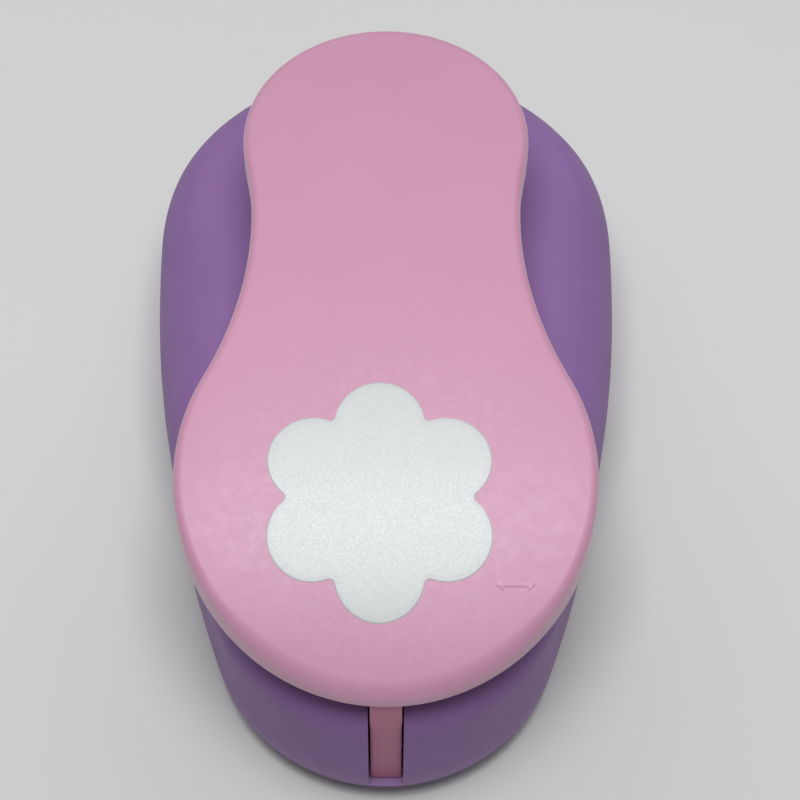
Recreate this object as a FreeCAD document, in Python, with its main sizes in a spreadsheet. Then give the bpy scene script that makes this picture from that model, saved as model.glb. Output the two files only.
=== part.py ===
import FreeCAD, Part
import math
import os
import Sketcher

# Craft punch with a hinged press lever.
# Frame: X to the right, Y to the back, Z up; the front of the punch faces -Y.
# Origin: middle of the footprint of the whole punch, on the table it rests on.

os.makedirs("parts", exist_ok=True)
doc = FreeCAD.newDocument("craft_punch")
V = FreeCAD.Vector

# ------------------------------------------------------------------ sizes
SIZES = [
    ("front_centre", -36.9, "centre of the round front end of the housing"),
    ("front_radius", 29.8, "radius of the round front end"),
    ("rear_centre", 26.7, "centre of the round rear end of the housing"),
    ("rear_radius", 40.0, "radius of the round rear end"),
    ("flank_radius", 200.0, "radius of the slightly bowed flanks"),
    ("wall", 2.4, "wall thickness of the housing"),
    ("shell_foot", 0.4, "height of the rear edge of the housing above the table"),
    ("throat_roof", 5.4, "height of the housing edge above the paper throat"),
    ("throat_end", 7.0, "how far back the throat is open"),
    ("roof_apex", -5.0, "highest place of the housing roof"),
    ("roof_height", 39.2, "height of the housing roof"),
    ("roof_radius", 260.0, "bow of the housing roof, front to back"),
    ("dome_round", 10.0, "edge rounding of the housing roof"),
    ("disc_centre", -31.9, "centre of the round front of the lever"),
    ("disc_radius", 33.9, "radius of the round front of the lever"),
    ("head_centre", 30.1, "centre of the round tail of the lever"),
    ("head_radius", 24.1, "radius of the round tail of the lever"),
    ("waist_radius", 59.0, "radius of the hollow flanks of the lever"),
    ("lever_apex", 13.0, "highest place of the lever"),
    ("lever_height", 58.3, "height of the lever at its highest place"),
    ("lever_bow", 260.0, "bow of the lever top, front to back"),
    ("nose_start", -30.0, "where the nose of the lever begins to dip"),
    ("nose_bow", 100.0, "bow of the dipping nose"),
    ("skirt_apex", 47.0, "highest place of the lower edge of the lever"),
    ("skirt_height", 51.0, "height of the lower edge of the lever at the tail"),
    ("skirt_bow", 496.0, "bow of the lower edge of the lever"),
    ("lever_wall", 2.2, "wall thickness of the lever"),
    ("lever_round", 3.0, "edge rounding of the lever"),
    ("pivot_back", -60.4, "pivot axis, place along Y"),
    ("pivot_up", 11.5, "pivot axis, height"),
    ("pin_radius", 1.5, "radius of the pivot pin"),
    ("running_fit", 0.06, "radial play of turning and sliding fits"),
    ("tongue_half", 3.0, "half width of the lever tongue"),
    ("slot_play", 0.35, "side gap between tongue and housing"),
    ("base_inset", 3.0, "how far the base stays inside the housing outline"),
    ("cover_height", 1.4, "thickness of the base cover"),
    ("plate", 2.2, "thickness of the die plate and of the guide plate"),
    ("throat", 2.0, "height of the paper throat"),
    ("plate_end", 25.0, "rear end of both steel plates"),
    ("punch_centre", -30.8, "centre of the flower cutter"),
    ("petal_reach", 16.25, "distance of the petal centres from the flower centre"),
    ("petal_radius", 9.15, "radius of a petal"),
    ("notch_radius", 1.6, "rounding between two petals"),
    ("cutter_play", 0.3, "gap between cutter and plates"),
    ("cutter_bottom", 6.0, "height of the cutting face at rest"),
    ("cutter_height", 8.0, "height of the flower cutter"),
    ("head_bottom", 21.0, "underside of the punch head at rest"),
    ("head_thick", 4.0, "thickness of the punch head"),
    ("pad_top", 27.9, "top of the strike pad at rest"),
    ("post_reach", 24.5, "distance of the guide posts from the middle"),
    ("post_radius", 2.0, "radius of the guide posts"),
    ("block_height", 3.0, "thickness of the punch guide block"),
    ("badge_centre", -36.3, "centre of the silver flower on the lever"),
    ("badge_shift", -1.0, "sideways place of the silver flower"),
    ("badge_reach", 12.2, "distance of its petal centres from its centre"),
    ("badge_petal", 7.1, "radius of its petals"),
    ("badge_notch", 0.9, "rounding between its petals"),
    ("badge_sink", 0.45, "how deep the silver flower is let in"),
    ("badge_proud", 0.08, "how far the silver flower stands out"),
]
sheet = doc.addObject("Spreadsheet::Sheet", "sizes")
NUMBERS = {}
for row, (alias, number, meaning) in enumerate(SIZES, start=1):
    sheet.set(f"A{row}", alias.replace("_", " "))
    sheet.set(f"B{row}", str(number))
    sheet.set(f"C{row}", meaning)
    sheet.setAlias(f"B{row}", alias)
    NUMBERS[alias] = number
doc.recompute()


class Size:
    """A number that keeps the sheet expression it comes from."""

    def __init__(self, text, number):
        self.text = text
        self.number = number

    def __add__(self, other):
        other = as_size(other)
        return Size(f"({self.text} + {other.text})", self.number + other.number)

    def __sub__(self, other):
        other = as_size(other)
        return Size(f"({self.text} - {other.text})", self.number - other.number)

    def __mul__(self, other):
        other = as_size(other)
        return Size(f"({self.text} * {other.text})", self.number * other.number)

    def __neg__(self):
        return Size(f"(0 - {self.text})", -self.number)

    def __radd__(self, other):
        return as_size(other) + self

    def __rsub__(self, other):
        return as_size(other) - self

    def __rmul__(self, other):
        return as_size(other) * self


def as_size(thing):
    if isinstance(thing, Size):
        return thing
    return Size(f"({float(thing):g})" if thing < 0 else f"{float(thing):g}", float(thing))


class Sheet:
    """Gives every size of the sheet as an attribute."""

    def __getattr__(self, alias):
        return Size("sizes." + alias, NUMBERS[alias])


S = Sheet()


def put(thing, field, size):
    """Binds one property to the sheet."""
    thing.setExpression(field, as_size(size).text)


# ------------------------------------------------------------ sketch tools
def new_body(name):
    return doc.addObject("PartDesign::Body", name)


def new_sketch(body, name, plane="XY_Plane", lift=0.0):
    sketch = body.newObject("Sketcher::SketchObject", name)
    planes = [f for f in body.Origin.OriginFeatures if f.Role == plane]
    sketch.AttachmentSupport = (planes[0], [""])
    sketch.MapMode = "FlatFace"
    sketch.AttachmentOffset = FreeCAD.Placement(V(0, 0, as_size(lift).number), FreeCAD.Rotation())
    if isinstance(lift, Size):
        put(sketch, "AttachmentOffset.Base.z", lift)
    return sketch


def rule(sketch, kind, *arguments, size=None, label=None):
    """Adds one constraint, named and bound to the sheet when it has a size."""
    if size is None:
        return sketch.addConstraint(Sketcher.Constraint(kind, *arguments))
    size = as_size(size)
    index = sketch.addConstraint(Sketcher.Constraint(kind, *arguments, size.number))
    name = label or f"{kind.lower()}_{index}"
    sketch.renameConstraint(index, name)
    if "sizes." in size.text:
        put(sketch, "Constraints." + name, size)
    return index


def add_arc(sketch, centre, radius, start, end):
    """Counter-clockwise arc from start to end."""
    circle = Part.Circle(V(centre[0], centre[1], 0), V(0, 0, 1), radius)
    first = math.atan2(start[1] - centre[1], start[0] - centre[0])
    last = math.atan2(end[1] - centre[1], end[0] - centre[0])
    if last <= first:
        last += 2 * math.pi
    return sketch.addGeometry(Part.ArcOfCircle(circle, first, last), False)


def add_line(sketch, start, end):
    return sketch.addGeometry(Part.LineSegment(V(*start, 0), V(*end, 0)), False)


def two_end_outline(sketch, near_y, near_r, far_y, far_r, flank_r, hollow=False):
    """Closed outline: round near end, round far end, bowed or hollow flanks."""
    a, b = near_y.number, far_y.number
    ra, rb, rs = near_r.number, far_r.number, flank_r.number
    side = 1 if hollow else -1
    da, db = (rs + ra, rs + rb) if hollow else (rs - ra, rs - rb)
    cy = ((da * da - db * db) / (b - a) + a + b) / 2
    cx = math.sqrt(da * da - (cy - a) ** 2)
    centre_right = (side * cx, cy)

    def touch(y, r):
        dx, dy = centre_right[0] / (da if y == a else db), (cy - y) / (da if y == a else db)
        return (side * dx * r, side * dy * r + y)

    near, far = touch(a, ra), touch(b, rb)
    near_left, far_left = (-near[0], near[1]), (-far[0], far[1])
    centre_left = (-centre_right[0], cy)
    far_arc = add_arc(sketch, (0, b), rb, far, far_left)
    near_arc = add_arc(sketch, (0, a), ra, near_left, near)
    if hollow:
        left_arc = add_arc(sketch, centre_left, rs, near_left, far_left)
        right_arc = add_arc(sketch, centre_right, rs, far, near)
        ends = ((far_arc, 2, left_arc, 2), (left_arc, 1, near_arc, 1),
                (near_arc, 2, right_arc, 2), (right_arc, 1, far_arc, 1))
    else:
        left_arc = add_arc(sketch, centre_left, rs, far_left, near_left)
        right_arc = add_arc(sketch, centre_right, rs, near, far)
        ends = ((far_arc, 2, left_arc, 1), (left_arc, 2, near_arc, 1),
                (near_arc, 2, right_arc, 1), (right_arc, 2, far_arc, 1))
    for one in ends:
        rule(sketch, "Tangent", *one)
    rule(sketch, "PointOnObject", near_arc, 3, -2)
    rule(sketch, "PointOnObject", far_arc, 3, -2)
    rule(sketch, "DistanceY", -1, 1, near_arc, 3, size=near_y, label="near_centre")
    rule(sketch, "DistanceY", -1, 1, far_arc, 3, size=far_y, label="far_centre")
    rule(sketch, "Radius", near_arc, size=near_r, label="near_radius")
    rule(sketch, "Radius", far_arc, size=far_r, label="far_radius")
    rule(sketch, "Radius", left_arc, size=flank_r, label="left_flank")
    rule(sketch, "Radius", right_arc, size=flank_r, label="right_flank")


def bowed_field(sketch, y_from, y_to, far_z, apex_y, apex_z, bow, nose_y=None, nose_bow=None):
    """Field between a bowed edge and a straight one at far_z, for trimming a blank."""
    cy, cz, r = apex_y.number, (apex_z - bow).number, bow.number

    def on_bow(y):
        return (y, cz + math.sqrt(r * r - (y - cy) ** 2))

    end = on_bow(y_to)
    if nose_y is None:
        start = on_bow(y_from)
        bow_arc = add_arc(sketch, (cy, cz), r, end, start)
        first_arc = bow_arc
    else:
        joint = on_bow(nose_y.number)
        k = nose_bow.number / r
        ny, nz = joint[0] - (joint[0] - cy) * k, joint[1] - (joint[1] - cz) * k
        start = (y_from, nz + math.sqrt(nose_bow.number ** 2 - (y_from - ny) ** 2))
        bow_arc = add_arc(sketch, (cy, cz), r, end, joint)
        first_arc = add_arc(sketch, (ny, nz), nose_bow.number, joint, start)
        rule(sketch, "Tangent", bow_arc, 2, first_arc, 1)
        rule(sketch, "DistanceX", -1, 1, bow_arc, 2, size=nose_y, label="nose_start")
        rule(sketch, "Radius", first_arc, size=nose_bow, label="nose_bow")
    left = add_line(sketch, start, (y_from, far_z))
    top = add_line(sketch, (y_from, far_z), (y_to, far_z))
    right = add_line(sketch, (y_to, far_z), end)
    rule(sketch, "Coincident", first_arc, 2, left, 1)
    rule(sketch, "Coincident", left, 2, top, 1)
    rule(sketch, "Coincident", top, 2, right, 1)
    rule(sketch, "Coincident", right, 2, bow_arc, 1)
    rule(sketch, "Vertical", left)
    rule(sketch, "Vertical", right)
    rule(sketch, "Horizontal", top)
    rule(sketch, "DistanceX", -1, 1, top, 1, size=y_from, label="field_from")
    rule(sketch, "DistanceX", -1, 1, top, 2, size=y_to, label="field_to")
    rule(sketch, "DistanceY", -1, 1, top, 1, size=far_z, label="field_far")
    rule(sketch, "DistanceX", -1, 1, bow_arc, 3, size=apex_y, label="apex_along")
    rule(sketch, "DistanceY", -1, 1, bow_arc, 3, size=apex_z - bow, label="bow_centre")
    rule(sketch, "Radius", bow_arc, size=bow, label="bow_radius")


def flower_outline(sketch, x, y, reach, petal, notch):
    """Six petals joined by small hollow roundings; one petal points to +Y."""
    d, r, q = reach.number, petal.number, notch.number
    cx, cy = as_size(x).number, y.number
    out = d * math.cos(math.pi / 6) + math.sqrt((r + q) ** 2 - (d / 2) ** 2)
    petals, notches = [], []
    for k in range(6):
        petals.append((math.pi / 2 + k * math.pi / 3))
        notches.append((math.pi / 2 + (k + 0.5) * math.pi / 3))
    petal_at = [(cx + d * math.cos(t), cy + d * math.sin(t)) for t in petals]
    notch_at = [(cx + out * math.cos(t), cy + out * math.sin(t)) for t in notches]

    def touch(p, n):
        k = r / (r + q)
        return (p[0] + (n[0] - p[0]) * k, p[1] + (n[1] - p[1]) * k)

    petal_arcs, notch_arcs = [], []
    for k in range(6):
        before = touch(petal_at[k], notch_at[k - 1])
        after = touch(petal_at[k], notch_at[k])
        petal_arcs.append(add_arc(sketch, petal_at[k], r, before, after))
    for k in range(6):
        after = touch(petal_at[(k + 1) % 6], notch_at[k])
        before = touch(petal_at[k], notch_at[k])
        notch_arcs.append(add_arc(sketch, notch_at[k], q, after, before))
    for k in range(6):
        rule(sketch, "Tangent", petal_arcs[k], 2, notch_arcs[k], 2)
        rule(sketch, "Tangent", notch_arcs[k], 1, petal_arcs[(k + 1) % 6], 1)
    for k in range(6):
        along = as_size(x) + reach * math.cos(petals[k])
        across = y + reach * math.sin(petals[k])
        rule(sketch, "DistanceX", -1, 1, petal_arcs[k], 3, size=along, label=f"petal_x{k}")
        rule(sketch, "DistanceY", -1, 1, petal_arcs[k], 3, size=across, label=f"petal_y{k}")
        rule(sketch, "Radius", petal_arcs[k], size=petal, label=f"petal_r{k}")
        rule(sketch, "Radius", notch_arcs[k], size=notch, label=f"notch_r{k}")


def polygon(sketch, points):
    """Closed straight-sided outline through the given points."""
    lines = []
    numbers = [(as_size(p[0]).number, as_size(p[1]).number) for p in points]
    for k, start in enumerate(numbers):
        lines.append(add_line(sketch, start, numbers[(k + 1) % len(numbers)]))
    for k, line in enumerate(lines):
        rule(sketch, "Coincident", line, 2, lines[(k + 1) % len(lines)], 1)
    for k, line in enumerate(lines):
        rule(sketch, "DistanceX", -1, 1, line, 1, size=points[k][0], label=f"corner_x{k}")
        rule(sketch, "DistanceY", -1, 1, line, 1, size=points[k][1], label=f"corner_y{k}")


def circles(sketch, spots, radius):
    """One circle of the given radius at each spot."""
    for k, (x, y) in enumerate(spots):
        x, y = as_size(x), as_size(y)
        ring = sketch.addGeometry(Part.Circle(V(x.number, y.number, 0), V(0, 0, 1),
                                              as_size(radius).number), False)
        rule(sketch, "DistanceX", -1, 1, ring, 3, size=x, label=f"spot_x{k}")
        rule(sketch, "DistanceY", -1, 1, ring, 3, size=y, label=f"spot_y{k}")
        rule(sketch, "Radius", ring, size=radius, label=f"spot_r{k}")


def pad(body, sketch, length, name="pad", both=False):
    feature = body.newObject("PartDesign::Pad", f"{body.Name}_{name}")
    feature.Profile = sketch
    feature.Length = as_size(length).number
    put(feature, "Length", length)
    if both:
        feature.SideType = "Symmetric"
    sketch.Visibility = False
    return feature


def pocket(body, sketch, length, name="pocket", both=False, reverse=False):
    feature = body.newObject("PartDesign::Pocket", f"{body.Name}_{name}")
    feature.Profile = sketch
    feature.Length = as_size(length).number
    put(feature, "Length", length)
    if both:
        feature.SideType = "Symmetric"
    feature.Reversed = reverse
    sketch.Visibility = False
    return feature


# --------------------------------------------------------- primitive tools
def box(name, x, y, z, along_x, along_y, along_z):
    thing = doc.addObject("Part::Box", name)
    for field, size in (("Length", along_x), ("Width", along_y), ("Height", along_z)):
        put(thing, field, size)
    for field, size in (("x", x), ("y", y), ("z", z)):
        put(thing, "Placement.Base." + field, size)
    return thing


def rod(name, x, y, z, radius, length, axis="z"):
    """Cylinder that starts at the point and runs along +X, +Y or +Z."""
    thing = doc.addObject("Part::Cylinder", name)
    put(thing, "Radius", radius)
    put(thing, "Height", length)
    turns = {"z": FreeCAD.Rotation(), "x": FreeCAD.Rotation(V(0, 1, 0), 90),
             "y": FreeCAD.Rotation(V(1, 0, 0), -90)}
    thing.Placement = FreeCAD.Placement(V(0, 0, 0), turns[axis])
    for field, size in (("x", x), ("y", y), ("z", z)):
        put(thing, "Placement.Base." + field, size)
    return thing


def cone(name, x, y, z, radius_low, radius_high, length):
    thing = doc.addObject("Part::Cone", name)
    put(thing, "Radius1", radius_low)
    put(thing, "Radius2", radius_high)
    put(thing, "Height", length)
    for field, size in (("x", x), ("y", y), ("z", z)):
        put(thing, "Placement.Base." + field, size)
    return thing


def ball(name, x, y, z, radius):
    thing = doc.addObject("Part::Sphere", name)
    put(thing, "Radius", radius)
    for field, size in (("x", x), ("y", y), ("z", z)):
        put(thing, "Placement.Base." + field, size)
    return thing


def join(name, *things):
    if len(things) == 1:
        return things[0]
    fused = doc.addObject("Part::MultiFuse", name)
    fused.Shapes = list(things)
    fused.Refine = True
    return fused


def carve(name, base, *tools):
    result = doc.addObject("Part::Cut", name)
    result.Base = base
    result.Tool = join(name + "_tools", *tools)
    result.Refine = True
    return result


def overlap(name, first, second):
    result = doc.addObject("Part::MultiCommon", name)
    result.Shapes = [first, second]
    return result


def group(name, *things):
    """Several separate solids that make one sub-part."""
    result = doc.addObject("Part::Compound", name)
    result.Links = list(things)
    return result


PARTS = {}


def part(label, thing):
    thing.Label = label
    PARTS[label] = thing
    return thing


# ------------------------------------------------------------ part tools
def round_edges(body, radius, pick):
    """Rounds the edges of the body's last shape that the pick function accepts."""
    doc.recompute()
    tip = body.Tip
    names = [f"Edge{k}" for k, edge in enumerate(tip.Shape.Edges, start=1) if pick(edge)]
    feature = body.newObject("PartDesign::Fillet", f"{body.Name}_round{len(body.Group)}")
    feature.Base = (tip, names)
    put(feature, "Radius", radius)
    tip.Visibility = False
    return feature


def prism(name, draw, lift, height):
    """Body made of one sketch drawn on the level given and padded upwards."""
    body = new_body(name)
    plan = new_sketch(body, name + "_plan", lift=lift)
    draw(plan)
    pad(body, plan, height)
    return body


# ---------------------------------------------------------------- housing
def housing_blank(name, inset, foot, edge_round):
    """Solid in the shape of the housing, made smaller all round by the inset."""
    body = new_body(name)
    plan = new_sketch(body, name + "_plan", lift=foot)
    two_end_outline(plan, S.front_centre, S.front_radius - inset, S.rear_centre,
                    S.rear_radius - inset, S.flank_radius - inset)
    pad(body, plan, 60.0)
    side = new_sketch(body, name + "_side", "YZ_Plane")
    bowed_field(side, -90.0, 90.0, 90.0, S.roof_apex, S.roof_height - inset, S.roof_radius - inset)
    pocket(body, side, 200.0, both=True)
    round_edges(body, edge_round, lambda edge: edge.BoundBox.ZMin > 15)
    return body


PUNCH_Y = S.punch_centre
wall_line = S.front_centre - S.front_radius
shell_form = housing_blank("shell_blank", as_size(0), S.shell_foot, S.dome_round)
hollow_form = housing_blank("shell_hollow", S.wall, S.shell_foot - 1.0, S.dome_round - S.wall)
throat_gap = box("throat_gap", -60.0, -90.0, -5.0, 120.0, S.throat_end + 90.0, S.throat_roof + 5.0)
tongue_slot = box("tongue_slot", -(S.tongue_half + S.slot_play), -90.0, S.pivot_up - 5.3,
                  2 * (S.tongue_half + S.slot_play), 90.0 + S.pivot_back + 2.4, 60.0)
roof_window = join("roof_window",
                   box("window_middle", -9.5, PUNCH_Y - 3.5, 30.0, 19.0, 9.0, 20.0),
                   rod("window_front", 0.0, PUNCH_Y - 3.5, 30.0, 9.5, 20.0),
                   rod("window_rear", 0.0, PUNCH_Y + 5.5, 30.0, 9.5, 20.0))
shell_open = carve("shell_open", shell_form, hollow_form, throat_gap, tongue_slot, roof_window)
BOSS_FRONT = ((17.5, -52.5), (-17.5, -52.5))
BOSS_REAR = ((20.0, 46.0), (-20.0, 46.0))
plate_top = S.cover_height + S.plate + S.throat + S.plate
bosses = []
for k, (x, y) in enumerate(BOSS_FRONT):
    bosses.append(rod(f"boss_front{k}", x, y, plate_top, 2.7, 31.0 - plate_top))
for k, (x, y) in enumerate(BOSS_REAR):
    bosses.append(rod(f"boss_rear{k}", x, y, S.cover_height, 3.6, 33.0 - S.cover_height))
bosses.append(rod("bumper_seat", 0.0, 35.0, 33.0, 6.5, 4.3))
bores = [rod(f"bore_front{k}", x, y, plate_top - 1.0, 1.2, 13.0) for k, (x, y) in enumerate(BOSS_FRONT)]
bores += [rod(f"bore_rear{k}", x, y, 0.0, 1.4, 17.0) for k, (x, y) in enumerate(BOSS_REAR)]
bores.append(rod("bumper_hole", 0.0, 35.0, 30.0, 2.0, 20.0))
part("body_shell", carve("shell_done", join("shell_full", shell_open, *bosses), *bores))

# ----------------------------------------------------------- base and die
die_level = S.cover_height
slot_level = die_level + S.plate
guide_level = slot_level + S.throat
RIVETS = ((27.0, 11.5), (-27.0, 11.5), (27.0, 20.5), (-27.0, 20.5))


def draw_base_outline(sketch):
    two_end_outline(sketch, S.front_centre, S.front_radius - S.base_inset, S.rear_centre,
                    S.rear_radius - S.base_inset, S.flank_radius - S.base_inset)


def draw_flower(growth):
    def draw(sketch):
        flower_outline(sketch, 0.0, PUNCH_Y, S.petal_reach, S.petal_radius + growth,
                       S.notch_radius - growth)
    return draw


def plate_body(name, level, thickness, growth, holes, hole_radius, keep_from, keep_to):
    """Flat plate in the outline of the base, cut to length, with flower and round holes."""
    body = prism(name, draw_base_outline, level, thickness)
    if keep_to is not None:
        ends = new_sketch(body, name + "_rear_end", lift=level)
        polygon(ends, ((-60.0, keep_to), (60.0, keep_to), (60.0, 90.0), (-60.0, 90.0)))
        pocket(body, ends, thickness, "rear_cut", reverse=True)
    if keep_from is not None:
        ends = new_sketch(body, name + "_front_end", lift=level)
        polygon(ends, ((-60.0, -90.0), (60.0, -90.0), (60.0, keep_from), (-60.0, keep_from)))
        pocket(body, ends, thickness, "front_cut", reverse=True)
    if growth is not None:
        opening = new_sketch(body, name + "_flower", lift=level)
        draw_flower(growth)(opening)
        pocket(body, opening, thickness, "flower_cut", reverse=True)
    drill = new_sketch(body, name + "_holes", lift=level)
    circles(drill, holes, hole_radius)
    pocket(body, drill, thickness, "holes_cut", reverse=True)
    return body


def countersink(name, spots, level, wide, narrow, depth):
    return [cone(f"{name}{k}", x, y, level, wide, narrow, depth) for k, (x, y) in enumerate(spots)]


cover_plate = plate_body("cover_plate", as_size(0), S.cover_height, as_size(0.9), BOSS_REAR,
                         1.5, None, None)
part("base_cover", carve("base_cover_done", cover_plate,
                         *countersink("cover_sink", BOSS_REAR, 0.0, 3.0, 1.5, 1.3)))
part("die_plate", plate_body("die_steel", die_level, S.plate, S.cutter_play, RIVETS, 2.0,
                             None, S.plate_end))
part("throat_spacer", plate_body("spacer_steel", slot_level, S.throat, None, RIVETS, 2.0,
                                 S.throat_end, S.plate_end))
guide_steel = plate_body("guide_steel", guide_level, S.plate, S.cutter_play,
                         RIVETS, 2.0, None, S.plate_end)
post_spots = ((S.post_reach, PUNCH_Y), (-S.post_reach, PUNCH_Y))
guide_cuts = [rod(f"guide_post_hole{k}", x, y, guide_level - 1.0, S.post_radius, 6.0)
              for k, (x, y) in enumerate(post_spots)]
guide_cuts += [rod(f"guide_screw_hole{k}", x, y, guide_level - 1.0, 1.2, 6.0)
               for k, (x, y) in enumerate(BOSS_FRONT)]
guide_cuts += countersink("guide_sink", BOSS_FRONT, guide_level, 2.4, 1.2, 1.3)
part("guide_plate", carve("guide_plate_done", guide_steel, *guide_cuts))

rivets = []
for k, (x, y) in enumerate(RIVETS):
    shank = rod(f"rivet_shank{k}", x, y, die_level, 2.0, plate_top - die_level)
    head = cone(f"rivet_head{k}", x, y, plate_top, 3.3, 2.4, 1.3)
    rivets.append(join(f"rivet{k}", shank, head))
part("plate_rivets", group("rivets", *rivets))

for side, sign in (("left", -1), ("right", 1)):
    block = box(f"block_{side}", 15.0 if sign > 0 else -28.0, -38.8, plate_top,
                13.0, 23.8, S.block_height)
    hollow = prism(f"block_flower_{side}", draw_flower(S.cutter_play), plate_top - 1.0,
                   S.block_height + 2.0)
    hole = rod(f"block_hole_{side}", S.post_reach * sign, PUNCH_Y, plate_top - 1.0,
               S.post_radius, 8.0)
    part(f"punch_guide_{side}", carve(f"punch_guide_{side}_done", block, hollow, hole))
    post = rod(f"post_{side}", S.post_reach * sign, PUNCH_Y, guide_level, S.post_radius,
               31.2 - guide_level)
    tip = cone(f"post_tip_{side}", S.post_reach * sign, PUNCH_Y, 31.2, S.post_radius, 1.2, 1.0)
    part(f"guide_post_{side}", join(f"guide_post_{side}_done", post, tip))

    cheek = box(f"cheek_{side}", 3.6 if sign > 0 else -6.4, S.pivot_back - 2.6, plate_top,
                2.8, 5.6, S.pivot_up - plate_top)
    cheek_top = rod(f"cheek_top_{side}", 3.6 if sign > 0 else -6.4, S.pivot_back, S.pivot_up,
                    2.6, 2.8, "x")
    cheek_hole = rod(f"cheek_hole_{side}", -12.0, S.pivot_back, S.pivot_up, S.pin_radius,
                     24.0, "x")
    part(f"pivot_bracket_{side}", carve(f"pivot_bracket_{side}_done",
                                        join(f"cheek_full_{side}", cheek, cheek_top), cheek_hole))
    ring = rod(f"clip_ring_{side}", 6.7 if sign > 0 else -7.5, S.pivot_back, S.pivot_up,
               2.5, 0.8, "x")
    groove = rod(f"clip_hole_{side}", -12.0, S.pivot_back, S.pivot_up, 1.15, 24.0, "x")
    mouth = box(f"clip_mouth_{side}", -12.0, S.pivot_back - 0.7, S.pivot_up, 24.0, 1.4, 5.0)
    part(f"pivot_clip_{side}", carve(f"pivot_clip_{side}_done", ring, groove, mouth))

pin = rod("pin_blank", -8.2, S.pivot_back, S.pivot_up, S.pin_radius, 16.4, "x")
pin_grooves = []
for k, x in enumerate((-7.55, 6.65)):
    outer = rod(f"pin_ring{k}", x, S.pivot_back, S.pivot_up, 3.0, 0.9, "x")
    inner = rod(f"pin_core{k}", x - 0.5, S.pivot_back, S.pivot_up, 1.15, 1.9, "x")
    pin_grooves.append(carve(f"pin_groove{k}", outer, inner))
part("pivot_pin", carve("pivot_pin_done", pin, *pin_grooves))

base_screws = []
for k, (x, y) in enumerate(BOSS_REAR):
    head = cone(f"base_screw_head{k}", x, y, 0.15, 2.8, 1.4, 1.25)
    shank = rod(f"base_screw_shank{k}", x, y, 1.2, 1.4, 12.0)
    recess = box(f"base_screw_slot{k}", x - 3.0, y - 0.4, -1.0, 6.0, 0.8, 1.7)
    base_screws.append(carve(f"base_screw{k}", join(f"base_screw_full{k}", head, shank), recess))
part("base_screws", group("base_screw_pair", *base_screws))

frame_screws = []
for k, (x, y) in enumerate(BOSS_FRONT):
    head = cone(f"frame_screw_head{k}", x, y, guide_level + 0.05, 2.3, 1.2, 1.15)
    shank = rod(f"frame_screw_shank{k}", x, y, guide_level + 1.1, 1.2, 11.0)
    recess = box(f"frame_screw_slot{k}", x - 3.0, y - 0.35, guide_level - 1.0, 6.0, 0.7, 1.6)
    frame_screws.append(carve(f"frame_screw{k}", join(f"frame_screw_full{k}", head, shank), recess))
part("frame_screws", group("frame_screw_pair", *frame_screws))

bumper_stem = rod("bumper_stem", 0.0, 35.0, 33.2, 2.0, 5.0)
bumper_head = rod("bumper_disc", 0.0, 35.0, 37.3, 5.0, 3.2)
bumper_dome = cone("bumper_dome", 0.0, 35.0, 40.5, 5.0, 3.4, 1.6)
part("tail_bumper", join("bumper_done", bumper_stem, bumper_head, bumper_dome))

# ------------------------------------------------------------------ punch
cutter = prism("cutter_steel", draw_flower(as_size(0)), S.cutter_bottom, S.cutter_height)
pedestal = new_sketch(cutter, "pedestal_plan", lift=S.cutter_bottom + S.cutter_height)
circles(pedestal, ((0.0, PUNCH_Y),), 13.6)
pad(cutter, pedestal, S.head_bottom - S.cutter_bottom - S.cutter_height, "pedestal")
SCREW_Y = (PUNCH_Y - 11.0, PUNCH_Y + 11.0)
cutter_bores = [rod(f"cutter_bore{k}", 0.0, y, 14.5, 1.4, 12.0) for k, y in enumerate(SCREW_Y)]
part("flower_cutter", carve("flower_cutter_done", cutter, *cutter_bores))

head_top = S.head_bottom + S.head_thick
head_disc = rod("head_disc", 0.0, PUNCH_Y, S.head_bottom, 14.6, S.head_thick)
head_bar = box("head_bar", -S.post_reach, PUNCH_Y - 4.4, S.head_bottom, 2 * S.post_reach, 8.8,
               S.head_thick)
head_ends = [rod(f"head_end{k}", x, y, S.head_bottom, 4.4, S.head_thick)
             for k, (x, y) in enumerate(post_spots)]
head_cuts = [rod(f"bush_seat{k}", x, y, S.head_bottom - 1.0, 3.2, 8.0)
             for k, (x, y) in enumerate(post_spots)]
head_cuts += [rod(f"head_screw_hole{k}", 0.0, y, S.head_bottom - 1.0, 1.4, 8.0)
              for k, y in enumerate(SCREW_Y)]
head_cuts += [cone(f"head_sink{k}", 0.0, y, head_top - 1.3, 1.4, 2.7, 1.3)
              for k, y in enumerate(SCREW_Y)]
head_cuts.append(rod("pad_seat", 0.0, PUNCH_Y, head_top - 2.0, 3.0, 4.0))
part("punch_head", carve("punch_head_done", join("head_full", head_disc, head_bar, *head_ends),
                         *head_cuts))

head_screws = []
for k, y in enumerate(SCREW_Y):
    shank = rod(f"head_screw_shank{k}", 0.0, y, 15.0, 1.4, 8.8)
    top = cone(f"head_screw_top{k}", 0.0, y, head_top - 1.3, 1.4, 2.6, 1.2)
    recess = box(f"head_screw_slot{k}", -3.0, y - 0.35, head_top - 0.7, 6.0, 0.7, 2.0)
    head_screws.append(carve(f"head_screw{k}", join(f"head_screw_full{k}", shank, top), recess))
part("punch_screws", group("head_screw_pair", *head_screws))

for side, sign in (("left", -1), ("right", 1)):
    x = S.post_reach * sign
    sleeve = rod(f"bush_sleeve_{side}", x, PUNCH_Y, S.head_bottom, 3.2, S.head_thick + 1.0)
    flange = rod(f"bush_flange_{side}", x, PUNCH_Y, head_top, 4.2, 1.0)
    hole = rod(f"bush_hole_{side}", x, PUNCH_Y, S.head_bottom - 1.0,
               S.post_radius + S.running_fit, 8.0)
    part(f"guide_bush_{side}", carve(f"guide_bush_{side}_done",
                                     join(f"bush_full_{side}", sleeve, flange), hole))

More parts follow.
